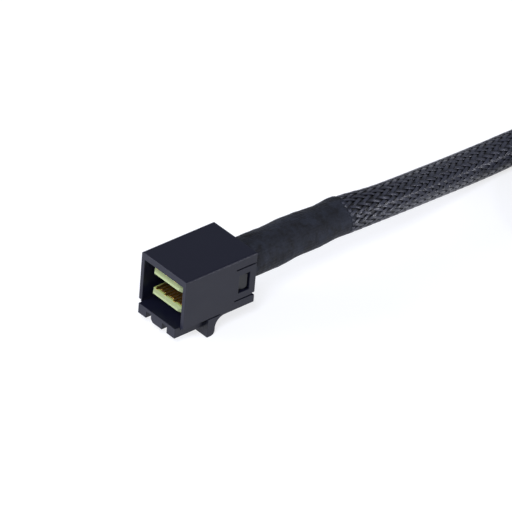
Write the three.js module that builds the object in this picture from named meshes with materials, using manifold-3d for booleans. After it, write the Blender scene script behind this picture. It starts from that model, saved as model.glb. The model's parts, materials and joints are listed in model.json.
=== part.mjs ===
// Mini SAS HD cable: two black plugs with twin edge cards, joined by a braided bundle of signal leads.
// Millimetres, +Z up. The near plug faces -X and stands on its finger tab. The second plug lies on its
// back inside the tied hank that holds the spare length.
import * as THREE from 'three';
import Module from 'manifold-3d';
import { mergeVertices } from 'three/addons/utils/BufferGeometryUtils.js';

const wasm = await Module();
wasm.setup();

// Plug shell
const shellWidth = 11.47;
const shellLength = 15.6;
const roofThickness = 1.3;
const sideThickness = 0.8;
const roofCornerRadius = 0.4;
const lipWidth = 0.3; // inner lip hanging from each side wall beside the arm
const lipDrop = 0.35;
const edgeSteps = 5;

// Latch arm and finger tab, moulded with the shell
const tabDrop = 3.8; // lower edge of a side wall to the tip of the tab
const tabFront = 5.54;
const tabThickness = 1.66;
const tabTipRadius = 0.9;
const tabRootRadius = 2.0;
const armThickness = 1.96;
const armReach = 0.9; // how far the arm stands out in front of the shell
const armSlit = 0.22; // slit between the arm and each side wall
const armSeam = 0.2; // seam between the tab's shoulders and the side walls
const armRoot = 8.2; // where the arm runs into the floor
const floorRise = 1.2; // length of the ramp behind the arm's root
const floorThickness = 1.3;
const floorDrop = 0.42; // rear floor's underside below the side walls' lower edge

// Latch teeth on the front of the arm
const toothInner = 1.45; // half width of the middle tooth
const toothGap = 1.21;
const toothBar = 0.65; // bar left above the gaps
const toothLength = 1.6;
const toothChamfer = 0.55;

// Slits and snap windows in the side walls
const slitHeight = 0.25;
const slitLength = 4.4;
const upperSlitDepth = 1.97; // below the roof
const lowerSlitDepth = 8.2;
const slitMouth = 0.55; // widened mouth of the lower slit
const windowTop = 3.31; // below the roof
const windowHeight = 3.52;
const windowLength = 2.38;
const windowRear = 1.35; // wall left behind the window

// Edge cards
const cardWidth = 7.4;
const cardThickness = 1.0;
const cardSetback = 0.79; // behind the shell's front face
const cardLength = 8.75;
const upperCardDepth = 3.14; // middle of the upper card below the roof
const cardPitch = 4.0; // middle of one card to the middle of the other
const cardBevel = 0.28;
const cardCornerClip = 0.55;
const padPitch = 0.75;
const padCount = 9;
const padWidth = 0.45;
const padHeight = 0.05;
const padLength = 3.4;
const groundPadExtra = 0.5; // every third contact reaches further forward
const padFront = 1.05; // first contact behind the card's front edge
const solderPadLength = 1.0;

// Inner carrier that holds the cards and snaps into the windows
const carrierFront = 5.6;
const carrierPlate = 2.0;
const carrierSide = 0.9;
const carrierRear = 1.4;
const snapFrontGap = 0.15;
const snapRearGap = 0.45;
const snapSideGap = 0.25;
const snapHeight = 0.66;
const snapCorner = 0.8;
const portWidth = 6.2;
const portHeight = 4.6;
const portRadius = 1.6;

// Signal leads
const leadWidth = 1.2;
const leadThickness = 0.6;
const leadClearance = 0.1;
const leadFloorGap = 0.22;
const leadsPerFace = 3;
const leadPitch = 2.25; // side by side where they meet the contacts
const leadShift = 0.375; // to the right of the card's middle
const bundleAcross = 1.5;
const bundleUp = 0.85;
const leadStart = 8.1; // behind the shell's front face
const leadStraight = 0.4; // straight stretch kept past a card's rear edge
const leadSteps = 16;
const leadSlackEnd = 0.3;
const leadCapSegments = 2;
const flatLean = 0.01; // slight fall or rise at a start, so that a flat section lies level

// Heat-shrink sleeve: height at stations along its length, and one ratio of width to height
const shrinkStations = [
  [0, 6.55], [4, 6.5], [7, 6.44], [10, 6.3], [13, 6.27], [16, 6.25], [19, 6.1], [22, 6.04], [24.5, 5.95],
];
const shrinkWall = 0.45;
const shrinkSegments = 32;
const ovalRatio = 1.25;

// Braided cord and the hank of its spare length
const cordHeight = 5.24;
const cordWidth = cordHeight * ovalRatio;
const cordSides = 12;
const hankPitch = 6.8; // centre to centre of two strands side by side
const nearLoopRadius = 19.7;
const hankStart = 68.0;
const nearLoopX = 76.0;
const hankRun = 86.8;
const hankExit = 100.0;
const hankSweep = 0.88; // half turns that the outer side takes round the near loop
const hankArcSteps = 24;
const nearRouteSteps = 24;
const farRouteSteps = 18;
const farPlugSetback = 30.4; // far loop's centre to the second plug's sleeve
const farPlugSide = -8.6;

// Cable tie round the two strands
const tieX = 88.0;
const tieWidth = 3.6;
const tieThickness = 0.6;
const tieSqueeze = 0.35;
const tieClearance = 0.3;
const tieCorner = 1.6;
const tieHead = [5.0, 4.6, 2.9];
const tieTail = [3.0, 5.0, 0.9];

// Worked out from the sizes above
const cardDepths = [upperCardDepth, upperCardDepth + cardPitch];
const leadRows = cardDepths.length * 2; // one row on each face of each card
const leadLift = cardThickness / 2 + padHeight + leadClearance + leadThickness / 2;
const floorDepth = cardDepths[1] + leadLift + leadThickness / 2 + leadFloorGap; // roof to the rear floor
const shellDepth = floorDepth + floorThickness - floorDrop; // roof to the lower edge of a side wall
const roofTop = tabDrop + shellDepth;
const halfWidth = shellWidth / 2;
const innerHalf = halfWidth - sideThickness;
const armHalf = innerHalf - armSlit;
const armTop = tabDrop;
const armBottom = armTop - armThickness;
const floorBottom = tabDrop - floorDrop;
const floorTop = floorBottom + floorThickness;
const cavityTop = roofTop - roofThickness;
const shrinkLength = shrinkStations[shrinkStations.length - 1][0];
const plugFront = -(shellLength + shrinkLength - armReach) / 2;
const cordAxis = (roofTop + floorBottom) / 2;
const farLoopRadius = nearLoopRadius + hankPitch / 2;
const farLoopX = nearLoopX + hankRun;
const farSleeveX = farLoopX - farPlugSetback;
const farAxis = roofTop - cordAxis;
const over = 1; // how far a cutter runs past what it cuts

const shellPlastic = { color: 0x2b2a31, roughness: 0.5, metalness: 0 };
const carrierPlastic = { color: 0x1a1a1e, roughness: 0.6, metalness: 0 };
const cardLaminate = { color: 0xaebb72, roughness: 0.45, metalness: 0 };
const leadJacket = { color: 0x9fa6b4, roughness: 0.4, metalness: 0 };
const shrinkRubber = { color: 0x24262e, roughness: 0.75, metalness: 0 };
const braidNylon = { color: 0x3a3d4a, roughness: 0.5, metalness: 0 };
const tieNylon = { color: 0x151517, roughness: 0.45, metalness: 0 };

// Solids

function solid(geometry) {
  const bare = geometry.index ? geometry.clone() : geometry;
  bare.deleteAttribute('normal');
  bare.deleteAttribute('uv');
  const merged = mergeVertices(bare, 1e-5);
  const vertProperties = new Float32Array(merged.attributes.position.array);
  const triVerts = new Uint32Array(merged.index.array);
  return new wasm.Manifold(new wasm.Mesh({ numProp: 3, vertProperties, triVerts }));
}

function mesh(name, body, look) {
  const { vertProperties, triVerts } = body.getMesh();
  const geometry = new THREE.BufferGeometry();
  geometry.setAttribute('position', new THREE.BufferAttribute(vertProperties, 3));
  geometry.setIndex(new THREE.BufferAttribute(triVerts, 1));
  geometry.computeVertexNormals();
  const result = new THREE.Mesh(geometry, new THREE.MeshStandardMaterial(look));
  result.name = name;
  return result;
}

function box([x0, x1], [y0, y1], [z0, z1]) {
  const geometry = new THREE.BoxGeometry(x1 - x0, y1 - y0, z1 - z0);
  return solid(geometry.translate((x0 + x1) / 2, (y0 + y1) / 2, (z0 + z1) / 2));
}

function extrude(shape, depth, curveSegments = edgeSteps) {
  return new THREE.ExtrudeGeometry(shape, { depth, bevelEnabled: false, curveSegments });
}

// A shape drawn in Y and Z, run along X
function prismX(shape, [x0, x1]) {
  return solid(extrude(shape, x1 - x0).rotateX(Math.PI / 2).rotateZ(Math.PI / 2).translate(x0, 0, 0));
}

// A shape drawn in X and Z, run along Y
function prismY(shape, [y0, y1]) {
  return solid(extrude(shape, y1 - y0).rotateX(Math.PI / 2).translate(0, y1, 0));
}

// A shape drawn in X and Y, run along Z
function prismZ(shape, [z0, z1], curveSegments = edgeSteps) {
  return solid(extrude(shape, z1 - z0, curveSegments).translate(0, 0, z0));
}

function polygon(points) {
  return new THREE.Shape(points.map(([x, y]) => new THREE.Vector2(x, y)));
}

function roundedRectangle([x0, x1], [y0, y1], radius) {
  const shape = new THREE.Shape();
  shape.moveTo(x0 + radius, y0);
  shape.lineTo(x1 - radius, y0);
  shape.absarc(x1 - radius, y0 + radius, radius, -Math.PI / 2, 0);
  shape.lineTo(x1, y1 - radius);
  shape.absarc(x1 - radius, y1 - radius, radius, 0, Math.PI / 2);
  shape.lineTo(x0 + radius, y1);
  shape.absarc(x0 + radius, y1 - radius, radius, Math.PI / 2, Math.PI);
  shape.lineTo(x0, y0 + radius);
  shape.absarc(x0 + radius, y0 + radius, radius, Math.PI, Math.PI * 1.5);
  return shape;
}

// Shell moulding

function shellWalls() {
  const section = new THREE.Shape();
  section.moveTo(-halfWidth, tabDrop);
  section.lineTo(halfWidth, tabDrop);
  section.lineTo(halfWidth, roofTop - roofCornerRadius);
  section.absarc(halfWidth - roofCornerRadius, roofTop - roofCornerRadius, roofCornerRadius, 0, Math.PI / 2);
  section.lineTo(roofCornerRadius - halfWidth, roofTop);
  section.absarc(roofCornerRadius - halfWidth, roofTop - roofCornerRadius, roofCornerRadius, Math.PI / 2, Math.PI);
  const hollow = box([-over, shellLength + over], [-innerHalf, innerHalf], [tabDrop - over, cavityTop]);
  const lipLength = [0, tabFront - armSlit];
  const lipHeight = [tabDrop - lipDrop, tabDrop + lipDrop];
  return prismX(section, [0, shellLength])
    .subtract(hollow)
    .add(box(lipLength, [innerHalf, innerHalf + lipWidth], lipHeight))
    .add(box(lipLength, [-innerHalf - lipWidth, -innerHalf], lipHeight));
}

// Side view of the arm, the finger tab and the rear floor in one line
function armProfile() {
  const tabRear = tabFront + tabThickness;
  const profile = new THREE.Shape();
  profile.moveTo(-armReach, armBottom);
  profile.lineTo(tabFront, armBottom);
  profile.lineTo(tabFront, 0);
  profile.lineTo(tabRear - tabTipRadius, 0);
  profile.absarc(tabRear - tabTipRadius, tabTipRadius, tabTipRadius, -Math.PI / 2, 0);
  profile.lineTo(tabRear, floorBottom - tabRootRadius);
  profile.absarc(tabRear + tabRootRadius, floorBottom - tabRootRadius, tabRootRadius, Math.PI, Math.PI / 2, true);
  profile.lineTo(shellLength, floorBottom);
  profile.lineTo(shellLength, floorTop);
  profile.lineTo(armRoot + floorRise, floorTop);
  profile.lineTo(armRoot, armTop);
  profile.lineTo(-armReach, armTop);
  return profile;
}

function toothGaps() {
  const depth = [-armReach - over, toothLength - armReach];
  const height = [armBottom - over, armTop - toothBar];
  const left = box(depth, [toothInner, toothInner + toothGap], height);
  const right = box(depth, [-toothInner - toothGap, -toothInner], height);
  const corner = polygon([
    [toothInner + over, armBottom - over],
    [toothInner + over, armBottom + toothChamfer + over],
    [toothInner - toothChamfer - over, armBottom - over],
  ]);
  const chamfer = prismX(corner, depth).intersect(
    box(depth, [0, toothInner + toothGap], [armBottom - over, armBottom + toothChamfer]));
  return left.add(right).add(chamfer);
}

function latchArm() {
  const narrow = prismY(armProfile(), [-armHalf, armHalf]);
  const behindTab = box([tabFront, shellLength], [-halfWidth, halfWidth], [0, floorTop]);
  const wide = prismY(armProfile(), [-halfWidth, halfWidth]).intersect(behindTab);
  const seamLength = [tabFront - over, armRoot];
  const seamHeight = [armTop - armSeam, armTop + over];
  const leftSeam = box(seamLength, [armHalf, halfWidth + over], seamHeight);
  const rightSeam = box(seamLength, [-halfWidth - over, -armHalf], seamHeight);
  const front = narrow.intersect(box([-armReach, tabFront + over], [-armHalf, armHalf], [0, armTop]));
  return wide.subtract(leftSeam).subtract(rightSeam).add(front).subtract(toothGaps());
}

function sideCuts(sign) {
  const through = sign > 0 ? [innerHalf - over / 2, halfWidth + over] : [-halfWidth - over, over / 2 - innerHalf];
  const rear = shellLength + over;
  const slit = (depth, height, length) =>
    box([shellLength - length, rear], through, [roofTop - depth - height / 2, roofTop - depth + height / 2]);
  const windowX = [shellLength - windowRear - windowLength, shellLength - windowRear];
  const windowZ = [roofTop - windowTop - windowHeight, roofTop - windowTop];
  return box(windowX, through, windowZ)
    .add(slit(upperSlitDepth, slitHeight, slitLength))
    .add(slit(lowerSlitDepth, slitHeight, slitLength))
    .add(slit(lowerSlitDepth, slitMouth, slitMouth));
}

function plugShell() {
  return shellWalls().add(latchArm()).subtract(sideCuts(1)).subtract(sideCuts(-1));
}

// Inner carrier

function snapBump(sign) {
  const front = shellLength - windowRear - windowLength + snapFrontGap;
  const rear = shellLength - windowRear - snapRearGap;
  const bottom = roofTop - windowTop - windowHeight + snapSideGap;
  const top = roofTop - windowTop - snapSideGap;
  const root = innerHalf - carrierSide / 2;
  const wedge = polygon([
    [front, sign * root],
    [front, sign * innerHalf],
    [rear, sign * (innerHalf + snapHeight)],
    [rear, sign * root],
  ]);
  const outline = new THREE.Shape();
  outline.moveTo(front, bottom);
  outline.lineTo(rear - snapCorner, bottom);
  outline.absarc(rear - snapCorner, bottom + snapCorner, snapCorner, -Math.PI / 2, 0);
  outline.lineTo(rear, top);
  outline.lineTo(front, top);
  return prismZ(wedge, [bottom, top]).intersect(prismY(outline, [-halfWidth, halfWidth]));
}

function wireCarrier() {
  const height = [floorTop, cavityTop];
  const port = roundedRectangle(
    [-portWidth / 2, portWidth / 2], [cordAxis - portHeight / 2, cordAxis + portHeight / 2], portRadius);
  let body = box([carrierFront, shellLength], [-innerHalf, innerHalf], height)
    .subtract(box([carrierFront + carrierPlate, shellLength - carrierRear],
      [carrierSide - innerHalf, innerHalf - carrierSide], [floorTop - over, cavityTop + over]))
    .subtract(prismX(port, [shellLength - carrierRear - over, shellLength + over]))
    .add(snapBump(1))
    .add(snapBump(-1));
  for (const depth of cardDepths) {
    const middle = roofTop - depth;
    const slot = [middle - cardThickness / 2, middle + cardThickness / 2];
    body = body.subtract(box([carrierFront - over, carrierFront + carrierPlate + over / 2],
      [-cardWidth / 2, cardWidth / 2], slot));
  }
  return body;
}

// Edge cards

function contactPads(middle, front, length, extra) {
  let pads = null;
  for (let i = 0; i < padCount; i += 1) {
    const y = (i - (padCount - 1) / 2) * padPitch;
    const start = i % 3 === 2 ? front - extra : front;
    const pad = box([start, front + length], [y - padWidth / 2, y + padWidth / 2],
      [middle - cardThickness / 2 - padHeight, middle + cardThickness / 2 + padHeight]);
    pads = pads ? pads.add(pad) : pad;
  }
  return pads;
}

function edgeCard(depth) {
  const middle = roofTop - depth;
  const rear = cardSetback + cardLength;
  const half = cardWidth / 2;
  const clipped = polygon([
    [cardSetback + cardCornerClip, -half],
    [rear, -half],
    [rear, half],
    [cardSetback + cardCornerClip, half],
    [cardSetback, half - cardCornerClip],
    [cardSetback, cardCornerClip - half],
  ]);
  const low = middle - cardThickness / 2;
  const high = middle + cardThickness / 2;
  const bevelled = polygon([
    [cardSetback, low + cardBevel],
    [cardSetback + cardBevel * 2, low],
    [rear, low],
    [rear, high],
    [cardSetback + cardBevel * 2, high],
    [cardSetback, high - cardBevel],
  ]);
  const board = prismZ(clipped, [low, high]).intersect(prismY(bevelled, [-half, half]));
  const padStart = cardSetback + padFront;
  const solderStart = rear - solderPadLength - padFront / 2;
  return board
    .add(contactPads(middle, padStart, padLength, groundPadExtra))
    .add(contactPads(middle, solderStart, solderPadLength, 0));
}

// Signal leads: flat pairs from both faces of both cards into one bundle

function flatSection(width, height) {
  const shape = new THREE.Shape();
  const cap = height / 2;
  shape.moveTo(cap - width / 2, -cap);
  shape.lineTo(width / 2 - cap, -cap);
  shape.absarc(width / 2 - cap, 0, cap, -Math.PI / 2, Math.PI / 2, false);
  shape.lineTo(cap - width / 2, cap);
  shape.absarc(cap - width / 2, 0, cap, Math.PI / 2, Math.PI * 1.5, false);
  return shape;
}

function signalLead(row, column) {
  const card = roofTop - cardDepths[row < 2 ? 0 : 1];
  const side = row % 2 === 0 ? 1 : -1;
  const across = column - (leadsPerFace - 1) / 2;
  const down = row - (leadRows - 1) / 2;
  const start = new THREE.Vector3(leadStart, across * leadPitch - leadShift, card + side * leadLift);
  const end = new THREE.Vector3(shellLength + shrinkLength - leadSlackEnd,
    across * bundleAcross, cordAxis - down * bundleUp);
  const cardEnd = cardSetback + cardLength + leadStraight;
  const port = shellLength - carrierRear;
  const path = new THREE.CatmullRomCurve3([
    start,
    new THREE.Vector3(cardEnd, start.y, start.z + flatLean),
    new THREE.Vector3((cardEnd + port) / 2, (start.y + end.y) / 2, (start.z + end.z) / 2),
    new THREE.Vector3(port, end.y, end.z),
    new THREE.Vector3(port + leadStraight * 2, end.y, end.z),
    end,
  ]);
  const options = { steps: leadSteps, extrudePath: path, bevelEnabled: false, curveSegments: leadCapSegments };
  return solid(new THREE.ExtrudeGeometry(flatSection(leadWidth, leadThickness), options));
}

// Heat-shrink sleeve: a revolved wall, pressed oval by the bundle inside it

function shrinkSleeve() {
  const outer = new THREE.SplineCurve(shrinkStations.map(([x, height]) => new THREE.Vector2(height / 2, x)));
  const skin = outer.getPoints(shrinkStations.length * 2);
  const bore = skin.map((point) => new THREE.Vector2(point.x - shrinkWall, point.y)).reverse();
  const geometry = new THREE.LatheGeometry([...skin, ...bore, skin[0]], shrinkSegments);
  geometry.rotateZ(-Math.PI / 2).scale(1, ovalRatio, 1);
  return solid(geometry.translate(shellLength, 0, cordAxis));
}

// One whole plug with the pieces that it carries

function plug(prefix) {
  const group = new THREE.Group();
  group.add(mesh(`${prefix}plug_shell`, plugShell(), shellPlastic));
  group.add(mesh(`${prefix}wire_carrier`, wireCarrier(), carrierPlastic));
  group.add(mesh(`${prefix}upper_card`, edgeCard(cardDepths[0]), cardLaminate));
  group.add(mesh(`${prefix}lower_card`, edgeCard(cardDepths[1]), cardLaminate));
  group.add(mesh(`${prefix}heat_shrink`, shrinkSleeve(), shrinkRubber));
  for (let row = 0; row < leadRows; row += 1) {
    for (let column = 0; column < leadsPerFace; column += 1) {
      const number = row * leadsPerFace + column + 1;
      group.add(mesh(`${prefix}signal_lead_${number}`, signalLead(row, column), leadJacket));
    }
  }
  return group;
}

// Cord: hand-chosen points down from the near sleeve, and from the hank up to the second plug

const nearRoute = [
  [20.8, -0.14, 8.33], [22, -0.16, 8.28], [24.7, -0.28, 8.15], [27.4, -0.3, 7.93], [30.2, -0.12, 7.6],
  [36, 0.65, 6.68], [42.6, 1.84, 5.41], [49.1, 3.0, 4.16], [55.3, 3.91, 3.21], [60.8, 4.42, 2.71],
  [64, 4.58, 2.62], [65.8, 4.6, 2.62], [67.7, 4.6, 2.62],
];
const farRoute = [
  [100.3, -2.2, 2.62], [102.3, -2.2, 2.63], [105.5, -2.5, 2.68], [109, -3.2, 2.86], [112.5, -4.2, 3.2],
  [116, -5.4, 3.64], [119.5, -6.6, 4.12], [123, -7.6, 4.54], [126.5, -8.3, 4.82], [129.2, -8.58, 4.93],
  [130.8, -8.6, 4.95], [132.1, -8.6, 4.95],
];
const nearSide = 4.6; // where the first strand lies, in Y

function cordTube(points, steps) {
  const path = new THREE.CatmullRomCurve3(points.map(([x, y, z]) => new THREE.Vector3(x, y, z)));
  const section = new THREE.Shape();
  section.absellipse(0, 0, cordWidth / 2, cordHeight / 2, 0, Math.PI * 2);
  const options = { steps, extrudePath: path, bevelEnabled: false, curveSegments: cordSides / 2 };
  return solid(new THREE.ExtrudeGeometry(section, options));
}

// Outer shape of the hank: a long loop with a second strand laid inside its first run
function hankOutline() {
  const half = cordWidth / 2;
  const farCentre = nearSide - farLoopRadius;
  const nearCentre = nearSide - hankPitch - nearLoopRadius;
  const shape = new THREE.Shape();
  shape.moveTo(hankStart, nearSide - half);
  shape.lineTo(hankStart, nearSide + half);
  shape.lineTo(farLoopX, nearSide + half);
  shape.absarc(farLoopX, farCentre, farLoopRadius + half, Math.PI / 2, -Math.PI / 2, true);
  shape.lineTo(nearLoopX, farCentre - farLoopRadius - half);
  shape.absarc(nearLoopX, nearCentre, nearLoopRadius + half, -Math.PI / 2,
    -Math.PI / 2 - Math.PI * hankSweep, true);
  const hole = new THREE.Path();
  hole.moveTo(hankExit, nearSide - hankPitch - half);
  hole.lineTo(nearLoopX, nearSide - hankPitch - half);
  hole.absarc(nearLoopX, nearCentre, nearLoopRadius - half, Math.PI / 2, Math.PI * 1.5, false);
  hole.lineTo(farLoopX, farCentre - farLoopRadius + half);
  hole.absarc(farLoopX, farCentre, farLoopRadius - half, -Math.PI / 2, Math.PI / 2, false);
  hole.lineTo(hankExit, nearSide - half);
  shape.holes.push(hole);
  return shape;
}

function tieBand(inset) {
  const y = [nearSide - hankPitch - cordWidth / 2 - tieSqueeze, nearSide + cordWidth / 2 + tieSqueeze];
  const z = [0, cordHeight + tieSqueeze];
  return roundedRectangle([y[0] + inset, y[1] - inset], [z[0] + inset, z[1] - inset], tieCorner - inset / 2);
}

function cordHank() {
  const body = prismZ(hankOutline(), [0, cordHeight], hankArcSteps);
  const reach = tieWidth / 2 + tieClearance;
  const waistX = [tieX - reach, tieX + reach];
  const cutter = box(waistX, [nearSide - hankPitch - cordWidth, nearSide + cordWidth], [-over, cordHeight + over]);
  const waist = prismX(tieBand(tieThickness + tieClearance), waistX);
  return body.subtract(cutter.subtract(waist));
}

function cableTie() {
  const along = [tieX - tieWidth / 2, tieX + tieWidth / 2];
  const band = prismX(tieBand(0), along).subtract(prismX(tieBand(tieThickness), [along[0] - over, along[1] + over]));
  const top = cordHeight + tieSqueeze;
  const middle = nearSide - hankPitch / 2;
  const head = box([tieX - tieHead[0] / 2, tieX + tieHead[0] / 2],
    [middle - tieHead[1] / 2, middle + tieHead[1] / 2], [top - tieThickness / 2, top + tieHead[2]]);
  const tail = box([tieX - tieTail[0] / 2, tieX + tieTail[0] / 2],
    [middle - tieHead[1] / 2 - tieTail[1], middle], [top + tieHead[2] / 3, top + tieHead[2] / 3 + tieTail[2]]);
  return band.add(head).add(tail);
}

// Assembly

const cable = new THREE.Group();

const nearPlug = plug('');
nearPlug.position.x = plugFront;
cable.add(nearPlug);

const farPlug = plug('far_');
farPlug.rotation.y = Math.PI;
farPlug.position.set(farSleeveX + shellLength + shrinkLength, farPlugSide, roofTop);
cable.add(farPlug);

cable.add(mesh('braided_cord', cordTube(nearRoute, nearRouteSteps), braidNylon));
cable.add(mesh('far_cord', cordTube(farRoute, farRouteSteps), braidNylon));
cable.add(mesh('cord_hank', cordHank(), braidNylon));
cable.add(mesh('cable_tie', cableTie(), tieNylon));

export default cable;
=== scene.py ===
# Mini SAS HD cable: two black plugs joined by a braided bundle of signal leads, on a white studio floor.
# Metres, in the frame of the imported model: +X from the near plug's mouth towards the cord, +Z up.
import bpy
import bmesh
import json
import math
import numpy as np
from mathutils import Matrix, Vector, noise

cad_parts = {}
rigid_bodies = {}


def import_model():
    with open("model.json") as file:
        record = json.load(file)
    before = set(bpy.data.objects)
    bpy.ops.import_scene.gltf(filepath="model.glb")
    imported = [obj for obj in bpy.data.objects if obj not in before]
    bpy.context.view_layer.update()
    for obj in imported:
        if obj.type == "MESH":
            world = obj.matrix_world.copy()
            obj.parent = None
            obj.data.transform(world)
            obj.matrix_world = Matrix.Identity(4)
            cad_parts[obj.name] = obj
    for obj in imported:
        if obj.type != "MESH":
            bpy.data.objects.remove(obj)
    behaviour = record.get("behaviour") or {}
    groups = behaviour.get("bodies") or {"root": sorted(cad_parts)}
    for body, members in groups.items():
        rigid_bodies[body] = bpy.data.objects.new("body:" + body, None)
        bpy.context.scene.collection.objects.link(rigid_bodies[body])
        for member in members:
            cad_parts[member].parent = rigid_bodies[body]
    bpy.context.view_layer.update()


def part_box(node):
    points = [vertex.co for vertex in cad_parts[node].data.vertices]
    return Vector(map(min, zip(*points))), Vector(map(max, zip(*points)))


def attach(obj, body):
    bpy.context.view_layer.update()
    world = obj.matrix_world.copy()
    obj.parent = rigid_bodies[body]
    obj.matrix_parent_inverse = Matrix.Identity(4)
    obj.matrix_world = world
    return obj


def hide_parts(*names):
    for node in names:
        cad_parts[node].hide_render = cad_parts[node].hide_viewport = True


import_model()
mm = 0.001

# The view: a long lens looks down on the near plug's mouth and right-hand side, rolled a little,
# from far enough away that the plug's edges stay almost parallel.
azimuth, elevation, roll = math.radians(-43.742), math.radians(34.191), math.radians(4.951)
view_distance = 800.0 * mm
view_target = Vector((1.115, 0.0, 7.388)) * mm
sensor_width = 36.0
lens_per_sensor = 4743.36 / 512  # focal length in picture widths

back = Vector((math.sin(azimuth) * math.cos(elevation),
               -math.cos(azimuth) * math.cos(elevation),
               math.sin(elevation)))
level = Vector((math.cos(azimuth), math.sin(azimuth), 0.0))
right = level * math.cos(roll) + back.cross(level) * math.sin(roll)
upward = back.cross(right)

camera = bpy.data.objects.new("camera", bpy.data.cameras.new("camera"))
bpy.context.scene.collection.objects.link(camera)
camera.data.sensor_width = sensor_width
camera.data.lens = sensor_width * lens_per_sensor
camera.data.clip_start = 10 * mm
camera.data.clip_end = 10.0
turn = Matrix((right, upward, back)).transposed().to_4x4()
camera.matrix_world = Matrix.Translation(view_target + back * view_distance) @ turn
bpy.context.scene.camera = camera

# The studio: a white floor that keeps the object's shadow, a white world and four soft lamps. One lights
# the top, one the mouth, and two small ones make the glints on the roof's edge and along the braid.


def linear(hex_colour):
    """An sRGB hex colour as the linear colour that a shader wants."""
    channels = [int(hex_colour[i:i + 2], 16) / 255 for i in (1, 3, 5)]
    return tuple(c / 12.92 if c <= 0.04045 else ((c + 0.055) / 1.055) ** 2.4 for c in channels) + (1.0,)


def add_node(tree, kind, settings=None, **inputs):
    """A shader node with its settings, and its sockets set or linked."""
    node = tree.nodes.new(kind)
    for key, value in (settings or {}).items():
        setattr(node, key, value)
    for key, value in inputs.items():
        socket = node.inputs[int(key[1:]) if key[1:].isdigit() else key.replace("_", " ")]
        if isinstance(value, bpy.types.NodeSocket):
            tree.links.new(value, socket)
        else:
            socket.default_value = value
    return node


def new_material(name):
    material = bpy.data.materials.new(name)
    material.use_nodes = True
    material.node_tree.nodes.clear()
    return material, material.node_tree


def looked_at(tree, mirrored):
    """1 for rays from the camera or through glass, and the share mirrored for reflections."""
    path = add_node(tree, "ShaderNodeLightPath")
    glossy = add_node(tree, "ShaderNodeMath", {"operation": "MULTIPLY"}, _0=path.outputs["Is Glossy Ray"],
                      _1=mirrored)
    clear = add_node(tree, "ShaderNodeMath", {"operation": "MAXIMUM"}, _0=path.outputs["Is Camera Ray"],
                     _1=path.outputs["Is Transmission Ray"])
    either = add_node(tree, "ShaderNodeMath", {"operation": "MAXIMUM"}, _0=clear.outputs[0],
                      _1=glossy.outputs[0])
    return either.outputs[0]


floor_half_side = 3.0
floor_material, tree = new_material("studio_white")
paper = add_node(tree, "ShaderNodeBsdfDiffuse", Color=(0.74, 0.77, 0.86, 1.0))
glow = add_node(tree, "ShaderNodeEmission", Color=(1.0, 1.0, 1.0, 1.0), Strength=1.31)
seen = add_node(tree, "ShaderNodeMath", {"operation": "MULTIPLY"}, _0=looked_at(tree, 1.0), _1=0.56)
mixed = add_node(tree, "ShaderNodeMixShader", _0=seen.outputs[0], _1=paper.outputs[0], _2=glow.outputs[0])
add_node(tree, "ShaderNodeOutputMaterial", Surface=mixed.outputs[0])

floor_mesh = bmesh.new()
bmesh.ops.create_grid(floor_mesh, x_segments=1, y_segments=1, size=floor_half_side)
floor = bpy.data.objects.new("floor", bpy.data.meshes.new("floor"))
floor_mesh.to_mesh(floor.data)
floor_mesh.free()
floor.data.materials.append(floor_material)
bpy.context.scene.collection.objects.link(floor)

world = bpy.data.worlds.new("studio")
world.use_nodes = True
tree = world.node_tree
tree.nodes.clear()
lit = add_node(tree, "ShaderNodeBackground", Color=(0.82, 0.87, 1.0, 1.0), Strength=0.26)
white = add_node(tree, "ShaderNodeBackground", Color=(1.0, 1.0, 1.0, 1.0), Strength=1.0)
seen = looked_at(tree, 0.1)  # black plastics would turn grey under a full white
mixed = add_node(tree, "ShaderNodeMixShader", _0=seen, _1=lit.outputs[0], _2=white.outputs[0])
add_node(tree, "ShaderNodeOutputWorld", Surface=mixed.outputs[0])
bpy.context.scene.world = world
bpy.context.scene.view_settings.view_transform = "Standard"

lamps = [
    ("key", (-0.5, -0.3, 0.62), 0.3, 4.6, (0.96, 0.97, 1.0)),
    ("front", (-0.75, 0.46, 0.2), 0.5, 11.0, (0.92, 0.93, 1.0)),
    ("edge", (0.5, -0.52, 0.46), 0.14, 1.5, (0.88, 0.88, 1.0)),
    ("low", (0.52, -0.74, 0.1), 0.07, 1.6, (0.93, 0.94, 1.0)),
]
for name, place, size, power, colour in lamps:
    lamp = bpy.data.objects.new(name, bpy.data.lights.new(name, "AREA"))
    lamp.data.shape = "DISK"
    lamp.data.size = size
    lamp.data.energy = power
    lamp.data.color = colour
    aim = (view_target - Vector(place)).to_track_quat("-Z", "Y").to_matrix().to_4x4()
    lamp.matrix_world = Matrix.Translation(place) @ aim
    bpy.context.scene.collection.objects.link(lamp)

# The cord: a bundle of flat signal leads in a woven sleeve, half a metre between the plugs. It comes
# down from the near plug to the floor, and its spare length lies in one long loop with the second
# strand inside the first, tied where the two run side by side. Its route is in millimetres.
cord_width, cord_height = 6.55 * mm, 5.24 * mm
near_route = [
    [20.8, -0.14, 8.33], [22, -0.16, 8.28], [24.7, -0.28, 8.15], [27.4, -0.3, 7.93], [30.2, -0.12, 7.6],
    [36, 0.65, 6.68], [42.6, 1.84, 5.41], [49.1, 3.0, 4.16], [55.3, 3.91, 3.21], [60.8, 4.42, 2.71],
    [64, 4.58, 2.62], [65.8, 4.6, 2.62], [67.7, 4.6, 2.62],
]
far_route = [
    [100.3, -2.2, 2.62], [102.3, -2.2, 2.63], [105.5, -2.5, 2.68], [109, -3.2, 2.86], [112.5, -4.2, 3.2],
    [116, -5.4, 3.64], [119.5, -6.6, 4.12], [123, -7.6, 4.54], [126.5, -8.3, 4.82], [129.2, -8.58, 4.93],
    [130.8, -8.6, 4.95], [132.1, -8.6, 4.95],
]
strand_pitch = 6.8
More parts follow.
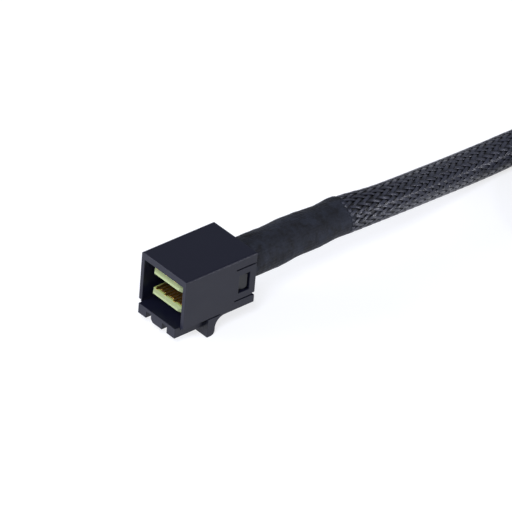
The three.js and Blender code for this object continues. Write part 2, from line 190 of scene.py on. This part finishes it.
near_loop_x, far_loop_x, near_side = 76.0, 162.8, 4.6
near_loop_radius = 19.7
far_loop_radius = near_loop_radius + strand_pitch / 2
loop_steps = 16
first_strand_start, second_strand_end = 72.0, 97.0
long_run_knots, short_run_knots = 14, 5


def arc(centre, radius, start, end, height):
    """Points of one loop of the hank, in millimetres, between two angles in degrees."""
    for i in range(1, loop_steps):
        a = math.radians(start + (end - start) * i / loop_steps)
        yield [centre[0] + radius * math.cos(a), centre[1] + radius * math.sin(a), height]


lying = near_route[-1][2]
hank_route = [[x, near_side, lying] for x in np.linspace(first_strand_start, far_loop_x, long_run_knots)]
hank_route += arc((far_loop_x, near_side - far_loop_radius), far_loop_radius, 90, -90, lying)
hank_route += [[x, near_side - 2 * far_loop_radius, lying]
               for x in np.linspace(far_loop_x, near_loop_x, long_run_knots)]
hank_route += arc((near_loop_x, near_side - strand_pitch - near_loop_radius), near_loop_radius,
                  -90, -270, lying)
hank_route += [[x, near_side - strand_pitch, lying]
               for x in np.linspace(near_loop_x, second_strand_end, short_run_knots)]


def smooth_line(points, step, cuts=24):
    """A smooth curve through the points, cut into even steps."""
    knots = np.array(points, float) * mm
    padded = np.vstack([2 * knots[0] - knots[1], knots, 2 * knots[-1] - knots[-2]])
    fine = []
    for a, b, c, d in zip(padded, padded[1:], padded[2:], padded[3:]):
        t = np.linspace(0, 1, cuts, endpoint=False)[:, None]
        fine.append(0.5 * (2 * b + (c - a) * t + (2 * a - 5 * b + 4 * c - d) * t ** 2
                           + (3 * b - a - 3 * c + d) * t ** 3))
    fine = np.vstack(fine + [knots[-1:]])
    run = np.concatenate([[0], np.cumsum(np.linalg.norm(np.diff(fine, axis=0), axis=1))])
    even = np.linspace(0, run[-1], round(run[-1] / step) + 1)
    return np.column_stack([np.interp(even, run, fine[:, i]) for i in range(3)]), even


cord_line, cord_run = smooth_line(near_route + hank_route + far_route, 0.25 * mm)
cord_length = float(cord_run[-1])

# The tie presses both strands flat, the braid fills the end of the heat-shrink, and it stands a little
# fuller where it hangs free.
tie_x, tie_reach, tie_pinch = 88.0 * mm, 3.2 * mm, 0.26
tie_lift, tie_side = 0.25 * mm, -6 * mm  # both strands under the tie lie above this side line in Y
exit_reach, exit_swell = 5.5 * mm, 0.1
swell, swell_end, swell_fade = 0.19 * mm, 45 * mm, 4 * mm
direction_reach = 0.3 * mm


def tie_and_exit(points, run):
    """How near each point is to the tie, and to a heat-shrink sleeve, from 0 to 1."""
    strand = (np.abs(points[:, 0] - tie_x) < 3 * tie_reach) & (points[:, 1] > tie_side)
    at_tie = np.where(strand, np.exp(-((points[:, 0] - tie_x) / tie_reach) ** 4), 0)
    ends = np.minimum(run, run[-1] - run)
    at_exit = np.exp(-(ends / exit_reach) ** 2)
    return at_tie, at_exit


def cord_frame(run):
    """Place, sideways and upward directions, and half sizes of the cord at distances along it."""
    on_line = np.clip(run, 0, cord_run[-1])
    ends = (np.minimum(on_line + direction_reach, cord_run[-1]), np.maximum(on_line - direction_reach, 0))
    place, ahead, behind = (np.column_stack([np.interp(r, cord_run, cord_line[:, i]) for i in range(3)])
                            for r in (on_line, *ends))
    along = ahead - behind
    along /= np.linalg.norm(along, axis=1)[:, None]
    place = place + along * (run - on_line)[:, None]
    side = np.cross([0, 0, 1], along)
    side /= np.linalg.norm(side, axis=1)[:, None]
    up = np.cross(along, side)
    at_tie, at_exit = tie_and_exit(place, on_line)
    fuller = swell * (1 - 1 / (1 + np.exp(-(on_line - swell_end) / swell_fade)))
    half_width = cord_width / 2 * (1 + exit_swell * at_exit) + fuller
    half_height = cord_height / 2 * (1 - tie_pinch * at_tie) * (1 + exit_swell * at_exit) + fuller
    place = place + up * (tie_lift * at_tie)[:, None]
    return place, side, up, half_width, half_height


def swept_mesh(name, rings):
    """A closed tube over rings of points, all with the same number of points."""
    count, sides = rings.shape[:2]
    verts = rings.reshape(-1, 3)
    i, j = np.meshgrid(np.arange(count - 1), np.arange(sides), indexing="ij")
    a = i * sides + j
    b = i * sides + (j + 1) % sides
    faces = np.stack([a, b, b + sides, a + sides], axis=-1).reshape(-1, 4).tolist()
    faces += [list(range(sides))[::-1], list(range((count - 1) * sides, count * sides))]
    mesh = bpy.data.meshes.new(name)
    mesh.from_pydata(verts.tolist(), [], faces)
    return mesh


core_inset = 0.42 * mm  # the bundle ends this far inside the braid's crowns
core_sides, core_rings = 24, 430
run = np.linspace(0, cord_length, core_rings)
place, side, up, half_width, half_height = cord_frame(run)
angle = np.linspace(0, 2 * math.pi, core_sides, endpoint=False)
rings = (place[:, None] + side[:, None] * ((half_width - core_inset)[:, None] * np.cos(angle))[..., None]
         + up[:, None] * ((half_height - core_inset)[:, None] * np.sin(angle))[..., None])
core = bpy.data.objects.new("lead_bundle", swept_mesh("lead_bundle", rings))
bpy.context.scene.collection.objects.link(core)

# Extruded black film, wound round the leads: matt and almost without light in the braid's gaps
bundle_film, tree = new_material("dark_wrapping_film")
surface = add_node(tree, "ShaderNodeBsdfPrincipled", Base_Color=linear("#040406"), Roughness=0.6)
add_node(tree, "ShaderNodeOutputMaterial", Surface=surface.outputs[0])
core.data.materials.append(bundle_film)
for face in core.data.polygons:
    face.use_smooth = True
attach(core, "root")
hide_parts("braided_cord", "cord_hank", "far_cord")

# The woven sleeve: 24 flat yarns wind each way round the bundle, each of three monofilaments,
# passing over two and under two, so that rows of chevrons run along the cord.
yarns_each_way = 24
yarn_spacing = 2.15 * mm  # along the cord, between yarns of one direction
yarn_lead = yarns_each_way * yarn_spacing
yarn_lift = 0.12 * mm
lift_sharpness = 2.2  # how quickly a yarn dives between over and under
first_over, first_under = 0.5, 2.5  # where in its over-and-under a yarn of either hand begins


def yarn_rings(index, hand, run, section, width_scale):
    """The rings of one yarn: hand is 1 or -1, the way it winds."""
    place, side, up, half_width, half_height = cord_frame(run)
    theta = 2 * math.pi * (index / yarns_each_way + hand * run / yarn_lead)
    crossings = 2 * yarns_each_way * run / yarn_lead
    phase = 2 * index + hand * crossings - (first_over if hand > 0 else first_under)
    lift = yarn_lift * np.tanh(lift_sharpness * np.cos(phase * math.pi / 2))
    inset = yarn_lift + section[:, 1].max()
    c, s = np.cos(theta)[:, None], np.sin(theta)[:, None]
    normal = side * c * half_height[:, None] + up * s * half_width[:, None]
    normal /= np.linalg.norm(normal, axis=1)[:, None]
    centre = place + side * c * half_width[:, None] + up * s * half_height[:, None]
    centre = centre + normal * (lift - inset)[:, None]
    along = np.gradient(centre, axis=0)
    along /= np.linalg.norm(along, axis=1)[:, None]
    across = np.cross(normal, along)
    u = section[:, 0][None, :, None] * width_scale[:, None, None]
    rings = centre[:, None] + across[:, None] * u + normal[:, None] * section[:, 1][None, :, None]
    return rings, np.repeat(lift / yarn_lift, len(section))


def weave(name, start, end, step, section, scale):
    """One mesh of all the yarns between two distances along the cord."""
    run = np.linspace(start, end, round((end - start) / step) + 1)
    parts = [yarn_rings(i, hand, run, section, scale(run))
             for hand in (1, -1) for i in range(yarns_each_way)]
    whole = bmesh.new()
    for rings, _ in parts:
        mesh = swept_mesh(name, rings)
        whole.from_mesh(mesh)
        bpy.data.meshes.remove(mesh)
    bmesh.ops.recalc_face_normals(whole, faces=whole.faces)
    piece = bpy.data.objects.new(name, bpy.data.meshes.new(name))
    whole.to_mesh(piece.data)
    whole.free()
    # The height of each point in the weave, which the material uses to paint the low points darker as
    # shade.
    height = piece.data.attributes.new("height_in_weave", "FLOAT", "POINT")
    height.data.foreach_set("value", np.concatenate([lift for _, lift in parts]))
    for face in piece.data.polygons:
        face.use_smooth = True
    bpy.context.scene.collection.objects.link(piece)
    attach(piece, "root")
    return piece


filament = 0.107 * mm  # radius of one monofilament
three_filaments = np.array([
    [-3.0, 0.0], [-2.5, 0.8], [-1.7, 0.9], [-1.0, 0.45], [-0.4, 1.0], [0.4, 1.0],
    [1.0, 0.45], [1.7, 0.9], [2.5, 0.8], [3.0, 0.0], [0.0, -0.9]]) * filament
flat_yarn = np.array([[-3.0, 0.0], [-1.4, 1.0], [1.4, 1.0], [3.0, 0.0], [0.0, -0.9]]) * filament


drawn_in_share, drawn_in_reach = 0.16, 14 * mm


def drawn_in_near_sleeve(run):
    """The yarns draw together near the heat-shrink, so that wider gaps show between them."""
    return 1.0 - drawn_in_share * np.exp(-(run / drawn_in_reach) ** 2)


under_tie = (67.9 * mm, 377.0 * mm)  # where each strand passes through the tie, which hides the joins
tucked = 1.2 * mm  # length of braid inside each heat-shrink sleeve
fine_step, coarse_step = 0.43 * mm, 0.75 * mm
braid_near = weave("braid_near", -tucked, under_tie[0], fine_step, three_filaments, drawn_in_near_sleeve)
braid_hank = weave("braid_hank", *under_tie, coarse_step, flat_yarn, np.ones_like)
braid_far = weave("braid_far", under_tie[1], cord_length + tucked, fine_step, three_filaments, np.ones_like)

# Extruded black polyester, smooth all round: each crown of the weave gives a small cold glint. The colour
# is painted darker with the height in the weave, so the dips go to black as painted shade, over a random
# tone.
monofilament, tree = new_material("black_monofilament")
coords = add_node(tree, "ShaderNodeTexCoord")
tone = add_node(tree, "ShaderNodeTexNoise", Vector=coords.outputs["Object"], Scale=1 / (1.1 * mm),
                Detail=2.0)
height = add_node(tree, "ShaderNodeAttribute", {"attribute_name": "height_in_weave"})
# Painted shade: the colour darkens where a yarn dips under another, mixed with a random tone.
tone_and_painted_shade = add_node(tree, "ShaderNodeMath", {"operation": "MULTIPLY_ADD"}, _0=height.outputs["Fac"], _1=0.42,
                _2=tone.outputs["Fac"])
shade = add_node(tree, "ShaderNodeValToRGB", Fac=tone_and_painted_shade.outputs[0])
shade.color_ramp.elements[0].position, shade.color_ramp.elements[1].position = 0.3, 0.95
shade.color_ramp.elements[0].color = linear("#08080c")
shade.color_ramp.elements[1].color = linear("#323440")
surface = add_node(tree, "ShaderNodeBsdfPrincipled", Base_Color=shade.outputs["Color"], Roughness=0.28,
                   IOR=1.53)
add_node(tree, "ShaderNodeOutputMaterial", Surface=surface.outputs[0])
for piece in (braid_near, braid_hank, braid_far):
    piece.data.materials.append(monofilament)

# The plug shells: each is one injection moulding in black glass-filled PBT, a box open at the front and
# rear with the latch arm, its teeth and the finger tab in one piece with it. Its edges are a little soft.
edge_angle = math.radians(30)
smooth_angle = math.radians(28)
flat_angle = math.radians(1)
weld = 0.002 * mm


def dressed(node, edge_radius):
    """A copy of a CAD node with clean faces and rounded edges, standing for the node."""
    shape = bmesh.new()
    shape.from_mesh(bpy.data.objects[node].data)
    bmesh.ops.remove_doubles(shape, verts=shape.verts, dist=weld)
    bmesh.ops.dissolve_limit(shape, angle_limit=flat_angle, verts=shape.verts, edges=shape.edges)
    corners = [e for e in shape.edges if len(e.link_faces) == 2 and e.calc_face_angle() > edge_angle]
    bmesh.ops.bevel(shape, geom=corners, offset=edge_radius, offset_type="OFFSET", segments=2, profile=0.5,
                    affect="EDGES", clamp_overlap=True, material=-1)
    return finished(shape, node)


def finished(shape, node):
    """A bmesh as a smooth-shaded piece of the object that stands for a CAD node."""
    piece = bpy.data.objects.new("dressed_" + node, bpy.data.meshes.new("dressed_" + node))
    shape.to_mesh(piece.data)
    shape.free()
    for face in piece.data.polygons:
        face.use_smooth = True
    piece.data.set_sharp_from_angle(angle=smooth_angle)
    piece.modifiers.new("flat_faces_stay_flat", "WEIGHTED_NORMAL").keep_sharp = True
    bpy.context.scene.collection.objects.link(piece)
    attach(piece, "root")
    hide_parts(node)
    return piece


# Moulded against a finely spark-eroded tool, so a satin black with a cold sheen. The grain is 0.05 mm on
# the real plug and drawn at 0.25 mm, the finest that shows.
black_pbt, tree = new_material("spark_eroded_black_pbt")
coords = add_node(tree, "ShaderNodeTexCoord")
grain = add_node(tree, "ShaderNodeTexNoise", Vector=coords.outputs["Object"], Scale=1 / (0.25 * mm),
                 Detail=2.0)
wear = add_node(tree, "ShaderNodeTexNoise", Vector=coords.outputs["Object"], Scale=1 / (4 * mm), Detail=3.0)
sheen = add_node(tree, "ShaderNodeMapRange", Value=wear.outputs["Fac"], From_Min=0.3, From_Max=0.7,
                 To_Min=0.38, To_Max=0.46)
relief = add_node(tree, "ShaderNodeBump", Height=grain.outputs["Fac"], Strength=0.25, Distance=0.02 * mm)
surface = add_node(tree, "ShaderNodeBsdfPrincipled", Base_Color=linear("#0e1020"), IOR=1.46,
                   Specular_IOR_Level=0.36, Roughness=sheen.outputs["Result"],
                   Normal=relief.outputs["Normal"])
add_node(tree, "ShaderNodeOutputMaterial", Surface=surface.outputs[0])

for plug in ("", "far_"):
    shell = dressed(plug + "plug_shell", 0.09 * mm)
    shell.data.materials.append(black_pbt)

# The carriers: inside each shell a black frame holds both cards and the leads' ends, and snaps into the
# windows of the side walls with a wedge on either side. Plain moulded nylon: an even, half-matt black.
carrier_black, tree = new_material("moulded_black_nylon")
surface = add_node(tree, "ShaderNodeBsdfPrincipled", Base_Color=linear("#0d0e14"), Roughness=0.42)
add_node(tree, "ShaderNodeOutputMaterial", Surface=surface.outputs[0])
for plug in ("", "far_"):
    carrier = dressed(plug + "wire_carrier", 0.08 * mm)
    carrier.data.materials.append(carrier_black)

# The edge cards: two boards of glass laminate 1 mm thick in each plug, coated with yellow-green solder
# mask, which is smooth and half glossy. Their edges and the ground bevel in front are bare, matt and paler.
mask_upright = 0.95  # faces that lean more than this are cut edges
solder_mask, tree = new_material("yellow_green_solder_mask")
surface = add_node(tree, "ShaderNodeBsdfPrincipled", Base_Color=linear("#9caa62"), Roughness=0.4)
add_node(tree, "ShaderNodeOutputMaterial", Surface=surface.outputs[0])
bare_laminate, tree = new_material("ground_glass_laminate")
surface = add_node(tree, "ShaderNodeBsdfPrincipled", Base_Color=linear("#8f9b70"), Roughness=0.6)
add_node(tree, "ShaderNodeOutputMaterial", Surface=surface.outputs[0])
for plug in ("", "far_"):
    for level in ("upper", "lower"):
        card = dressed(f"{plug}{level}_card", 0.04 * mm)
        card.data.materials.append(solder_mask)
        card.data.materials.append(bare_laminate)
        for face in card.data.polygons:
            face.material_index = int(abs(face.normal.z) < mask_upright)

# The contacts: nine gold-plated copper pads on each face of each card, every third one longer for ground,
# and nine short ones at the rear that the leads are soldered to. The gold is smooth, so it mirrors the
# dark mouth and glints only at the pads' bevelled ends.
pad_bevel = 0.035 * mm
pad_size = (3.4 * mm, 0.45 * mm, 0.05 * mm)
pad_pitch = 0.75 * mm
pad_overlap = 0.015 * mm  # the plating stands this far outside the card's ridges
first_pad, ground_lead, solder_pad = 1.05 * mm, 0.5 * mm, 1.0 * mm
bed_size = (3.7 * mm, 7.1 * mm, 0.03 * mm)  # window in the solder mask, where brown laminate is bare
brown_laminate, tree = new_material("bare_brown_laminate")
surface = add_node(tree, "ShaderNodeBsdfPrincipled", Base_Color=linear("#4a3a20"), Roughness=0.5)
add_node(tree, "ShaderNodeOutputMaterial", Surface=surface.outputs[0])
gold, tree = new_material("polished_gold_plating")
surface = add_node(tree, "ShaderNodeBsdfPrincipled", Base_Color=linear("#d9ab52"), Metallic=1.0,
                   Roughness=0.32)
add_node(tree, "ShaderNodeOutputMaterial", Surface=surface.outputs[0])
for plug in ("", "far_"):
    pads = bmesh.new()
    for level in ("upper", "lower"):
        low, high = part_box(f"{plug}{level}_card")
        front, rear, inward = (high[0], low[0], -1) if plug else (low[0], high[0], 1)
        middle = (low[1] + high[1]) / 2
        for face_height in (low[2] + pad_size[2], high[2] - pad_size[2]):
            bed = bmesh.ops.create_cube(pads, size=1.0)["verts"]
            bmesh.ops.scale(pads, verts=bed, vec=bed_size)
            place = (front + inward * (first_pad + pad_size[0] / 2), middle, face_height)
            bmesh.ops.translate(pads, verts=bed, vec=place)
            for face in {f for vert in bed for f in vert.link_faces}:
                face.material_index = 1
        for i in range(-4, 5):
            ground = ground_lead if i % 3 == 1 else 0
            for start, length in ((front + inward * (first_pad - ground), pad_size[0]),
                                  (rear - inward * (solder_pad + first_pad / 2), solder_pad)):
                for face_height in (low[2], high[2]):
                    box = bmesh.ops.create_cube(pads, size=1.0)["verts"]
                    plated = (length + 2 * pad_overlap, pad_size[1] + 2 * pad_overlap,
                              2 * (pad_size[2] + pad_overlap))
                    bmesh.ops.scale(pads, verts=box, vec=plated)
                    inset = pad_size[2] if face_height == low[2] else -pad_size[2]
                    place = (start + inward * length / 2, middle + i * pad_pitch, face_height + inset)
                    bmesh.ops.translate(pads, verts=box, vec=place)
    bmesh.ops.bevel(pads, geom=pads.edges, offset=pad_bevel, offset_type="OFFSET", segments=1, profile=0.5,
                    affect="EDGES", clamp_overlap=True, material=-1)
    contacts = bpy.data.objects.new(plug + "contact_pads", bpy.data.meshes.new(plug + "contact_pads"))
    pads.to_mesh(contacts.data)
    pads.free()
    contacts.data.materials.append(gold)
    contacts.data.materials.append(brown_laminate)
    bpy.context.scene.collection.objects.link(contacts)
    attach(contacts, "root")

# The signal leads: twelve flat pairs in each plug, each wrapped in a silver-grey foil and film jacket,
# soldered to the rear pads and gathered into one bundle. The film gives it a soft metallic grey.
foil_jacket, tree = new_material("silver_grey_film_jacket")
surface = add_node(tree, "ShaderNodeBsdfPrincipled", Base_Color=linear("#9fa6b4"), Roughness=0.38)
add_node(tree, "ShaderNodeOutputMaterial", Surface=surface.outputs[0])
for plug in ("", "far_"):
    for number in range(1, 13):
        lead = bpy.data.objects[f"{plug}signal_lead_{number}"]
        lead.data.materials.clear()
        lead.data.materials.append(foil_jacket)

# The heat-shrink sleeves: black polyolefin tube, shrunk over the braid's end and the plug's rear. It is
# matt, and takes up the lumps of the bundle and the weave beneath it.
sleeve_oval = 1.25
sleeve_core = 2.9 * mm  # between the bore and the outer skin
lump_height, lump_length = 0.2 * mm, 4.5 * mm
ripple_height, ripple_length = 0.07 * mm, 1.1 * mm
sleeve_flare, flare_start, flare_reach = 0.15 * mm, 20.5 * mm, 3.5 * mm  # over the end of the woven sleeve
sleeve_sag, sag_place, sag_reach = 0.3 * mm, 7 * mm, 6 * mm  # below the gathered leads, next to the shell
shrunk, tree = new_material("shrunk_black_polyolefin")
coords = add_node(tree, "ShaderNodeTexCoord")
around = add_node(tree, "ShaderNodeAttribute", {"attribute_name": "wrap"})
split = add_node(tree, "ShaderNodeSeparateXYZ", Vector=around.outputs["Vector"])
ridges = []
for hand in (1, -1):
    turn_part = add_node(tree, "ShaderNodeMath", {"operation": "MULTIPLY"}, _0=split.outputs["Y"],
                         _1=hand * yarns_each_way)
    phase = add_node(tree, "ShaderNodeMath", {"operation": "MULTIPLY_ADD"}, _0=split.outputs["X"],
                     _1=2 * math.pi / yarn_spacing, _2=turn_part.outputs[0])
    ridges.append(add_node(tree, "ShaderNodeMath", {"operation": "SINE"}, _0=phase.outputs[0]))
weave_print = add_node(tree, "ShaderNodeMath", {"operation": "MULTIPLY"}, _0=ridges[0].outputs[0],
                       _1=ridges[1].outputs[0])
skin = add_node(tree, "ShaderNodeTexNoise", Vector=coords.outputs["Object"], Scale=1 / (0.6 * mm),
                Detail=3.0)
height = add_node(tree, "ShaderNodeMath", {"operation": "MULTIPLY_ADD"}, _0=weave_print.outputs[0], _1=0.12,
                  _2=skin.outputs["Fac"])
relief = add_node(tree, "ShaderNodeBump", Height=height.outputs[0], Strength=1.0, Distance=0.16 * mm)
# Painted sheen: lighter and darker patches at random in the colour stand in for the sheen on the tube's
# lumpy skin.
painted_sheen_mottle = add_node(tree, "ShaderNodeTexNoise", Vector=coords.outputs["Object"], Scale=1 / (2.2 * mm),
                  Detail=6.0, Roughness=0.75)
shade = add_node(tree, "ShaderNodeValToRGB", Fac=painted_sheen_mottle.outputs["Fac"])
shade.color_ramp.elements[0].position, shade.color_ramp.elements[1].position = 0.38, 0.62
shade.color_ramp.elements[0].color = linear("#08090f")
shade.color_ramp.elements[1].color = linear("#20242f")
surface = add_node(tree, "ShaderNodeBsdfPrincipled", Base_Color=shade.outputs["Color"], Roughness=0.7,
                   Specular_IOR_Level=0.3, Normal=relief.outputs["Normal"])
add_node(tree, "ShaderNodeOutputMaterial", Surface=surface.outputs[0])
for plug in ("", "far_"):
    node = plug + "heat_shrink"
    low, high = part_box(node)
    axis_y, axis_z = (low[1] + high[1]) / 2, (low[2] + high[2]) / 2
    tube = bmesh.new()
    tube.from_mesh(bpy.data.objects[node].data)
    bmesh.ops.remove_doubles(tube, verts=tube.verts, dist=weld)
    bmesh.ops.join_triangles(tube, faces=tube.faces, angle_face_threshold=math.radians(40),
                             angle_shape_threshold=math.radians(60))
    bmesh.ops.subdivide_edges(tube, edges=tube.edges, cuts=3, use_grid_fill=True, smooth=0.0)
    for vert in tube.verts:
        radial = Vector((0, (vert.co.y - axis_y) / sleeve_oval, vert.co.z - axis_z))
        if radial.length > sleeve_core:
            lump = noise.noise(vert.co / lump_length) * lump_height
            ripple = noise.noise(vert.co / ripple_length) * ripple_height
            from_shell = high[0] - vert.co.x if plug else vert.co.x - low[0]
            flare = sleeve_flare * min(1, max(0, (from_shell - flare_start) / flare_reach))
            at_sag = math.exp(-((from_shell - sag_place) / sag_reach) ** 2)
            sag = sleeve_sag * max(0, -radial.z / radial.length) * at_sag
            vert.co += radial.normalized() * (lump + flare + sag + ripple)
    sleeve = finished(tube, node)
    wrap = sleeve.data.attributes.new("wrap", "FLOAT_VECTOR", "POINT")
    for vert, value in zip(sleeve.data.vertices, wrap.data):
        turned = math.atan2(vert.co.y - axis_y, vert.co.z - axis_z)
        value.vector = (vert.co.x, turned, 0)
    sleeve.data.materials.append(shrunk)

# The cable tie: a black nylon strap pulled tight round both strands, with its ratchet head on top. It is
# injection moulded, smooth, and a plain half-matt black.
tie_nylon, tree = new_material("moulded_black_nylon_strap")
surface = add_node(tree, "ShaderNodeBsdfPrincipled", Base_Color=linear("#121216"), Roughness=0.4)
add_node(tree, "ShaderNodeOutputMaterial", Surface=surface.outputs[0])
tie = dressed("cable_tie", 0.15 * mm)
tie.data.materials.append(tie_nylon)
